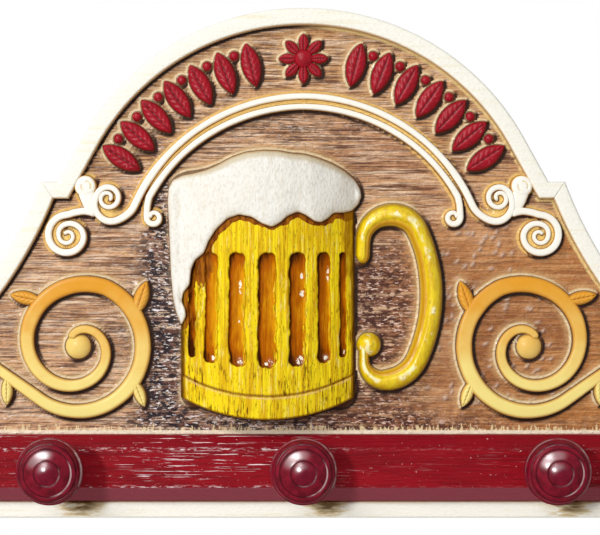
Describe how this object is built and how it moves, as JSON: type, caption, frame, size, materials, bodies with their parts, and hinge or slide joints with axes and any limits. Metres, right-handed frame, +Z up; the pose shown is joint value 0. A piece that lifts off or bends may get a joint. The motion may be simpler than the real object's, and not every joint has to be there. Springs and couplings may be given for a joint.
{
  "type": "wall peg rack",
  "caption": "Arched, carved and painted wooden wall rack with a relief beer mug, scroll mouldings and a bevelled rail of turned pegs, hung on the wall from keyhole plates.",
  "frame": {"origin": "on the wall plane, midway between the entry holes of the two keyhole plates", "axes": "+X along the rail to the viewer's right, +Y into the wall, +Z up"},
  "size_m": [0.61, 0.071, 0.305],
  "materials": {
    "field_wood": "tooled, stained and lacquered",
    "cream_paint": "satin paint, lightly worn",
    "scroll_cream": "satin paint with gilded edges",
    "crimson_paint": "worn satin paint",
    "maroon_gloss": "gloss lacquer",
    "red_relief": "satin paint",
    "gold_relief": "gilt paint, shaded",
    "mug_yellow": "dry-brushed gloss paint",
    "handle_gold": "gloss paint",
    "foam_cream": "satin paint",
    "zinc_steel": "zinc plated"
  },
  "bodies": {
    "root": {"back_board": "field_wood", "crest_border": "cream_paint", "left_border": "cream_paint", "right_border": "cream_paint", "bottom_border": "cream_paint", "peg_rail": "crimson_paint", "peg_left": "maroon_gloss", "peg_centre": "maroon_gloss", "peg_right": "maroon_gloss", "peg_screws": "zinc_steel", "peg_washers": "zinc_steel", "rail_screws": "zinc_steel", "outer_arch_moulding": "scroll_cream", "inner_arch_moulding": "scroll_cream", "left_corner_scroll": "scroll_cream", "right_corner_scroll": "scroll_cream", "mug_body": "mug_yellow", "mug_foam": "foam_cream", "mug_handle": "handle_gold", "crest_leaves": "red_relief", "crest_beads": "red_relief", "crest_rosette": "red_relief", "left_side_scroll": "gold_relief", "right_side_scroll": "gold_relief", "left_hanger_plate": "zinc_steel", "right_hanger_plate": "zinc_steel", "hanger_screws": "zinc_steel"}
  },
  "joints": []
}
